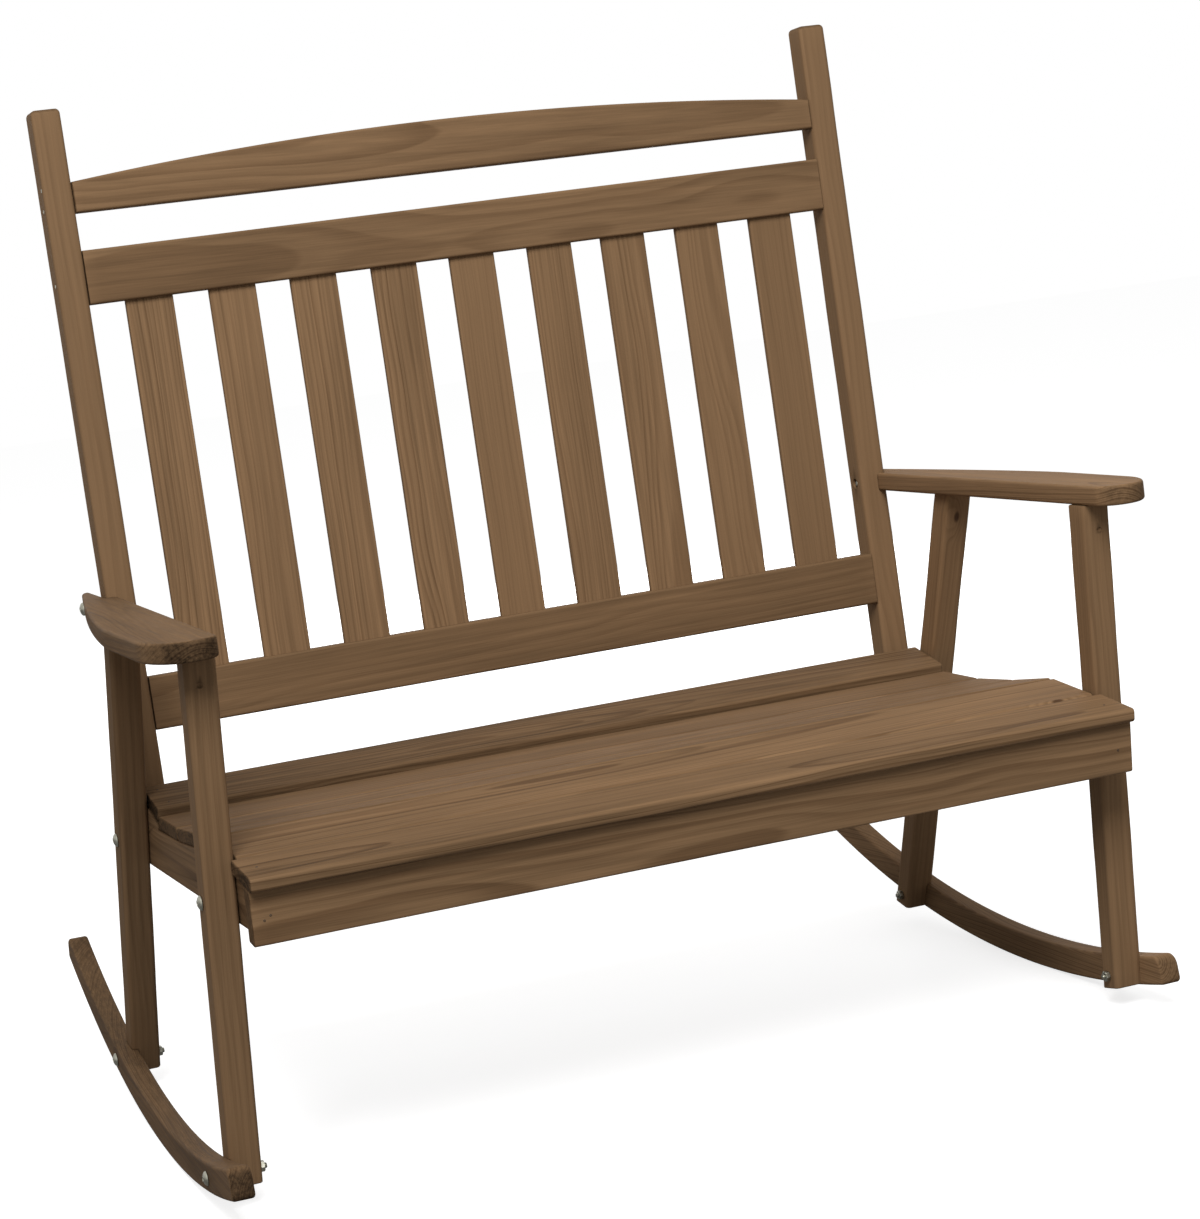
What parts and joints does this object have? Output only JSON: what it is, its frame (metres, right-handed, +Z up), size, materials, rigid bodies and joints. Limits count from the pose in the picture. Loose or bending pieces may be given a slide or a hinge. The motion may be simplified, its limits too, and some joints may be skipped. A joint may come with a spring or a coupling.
{
  "type": "rocking bench",
  "caption": "Wide wooden rocking bench with a slatted dished seat, a slatted back under an arched crest rail, and flat arms.",
  "frame": {"origin": "bottom centre of the overall box, on the floor under the rockers", "axes": "+X to the right of someone facing the bench, -Y out of the front, +Z up"},
  "size_m": [1.161, 1.0576, 1.1928],
  "materials": {
    "stained_pine": "brown semi-transparent outdoor stain on softwood, matte",
    "zinc_plated_steel": "bright zinc plating"
  },
  "bodies": {
    "root": {"back_slat_1": "stained_pine", "back_slat_2": "stained_pine", "back_slat_3": "stained_pine", "back_slat_4": "stained_pine", "back_slat_5": "stained_pine", "back_slat_6": "stained_pine", "back_slat_7": "stained_pine", "back_slat_8": "stained_pine", "back_slat_9": "stained_pine", "crest_rail": "stained_pine", "front_apron": "stained_pine", "left_arm": "stained_pine", "left_arm_bolt": "zinc_plated_steel", "left_arm_nut": "zinc_plated_steel", "left_back_post": "stained_pine", "left_front_leg": "stained_pine", "left_front_leg_bolt": "zinc_plated_steel", "left_front_leg_nut": "zinc_plated_steel", "left_rear_leg": "stained_pine", "left_rear_leg_bolt": "zinc_plated_steel", "left_rear_leg_nut": "zinc_plated_steel", "left_rocker": "stained_pine", "left_rocker_front_bolt": "zinc_plated_steel", "left_rocker_front_nut": "zinc_plated_steel", "left_rocker_rear_bolt": "zinc_plated_steel", "left_rocker_rear_nut": "zinc_plated_steel", "left_seat_side_rail": "stained_pine", "lower_back_rail": "stained_pine", "middle_bearer": "stained_pine", "rear_stretcher": "stained_pine", "right_arm": "stained_pine", "right_arm_bolt": "zinc_plated_steel", "right_arm_nut": "zinc_plated_steel", "right_back_post": "stained_pine", "right_front_leg": "stained_pine", "right_front_leg_bolt": "zinc_plated_steel", "right_front_leg_nut": "zinc_plated_steel", "right_rear_leg": "stained_pine", "right_rear_leg_bolt": "zinc_plated_steel", "right_rear_leg_nut": "zinc_plated_steel", "right_rocker": "stained_pine", "right_rocker_front_bolt": "zinc_plated_steel", "right_rocker_front_nut": "zinc_plated_steel", "right_rocker_rear_bolt": "zinc_plated_steel", "right_rocker_rear_nut": "zinc_plated_steel", "right_seat_side_rail": "stained_pine", "seat_nose_slat": "stained_pine", "seat_rear_slat": "stained_pine", "seat_slat_2": "stained_pine", "seat_slat_3": "stained_pine", "seat_slat_4": "stained_pine", "seat_slat_5": "stained_pine", "upper_back_rail": "stained_pine"}
  },
  "joints": []
}
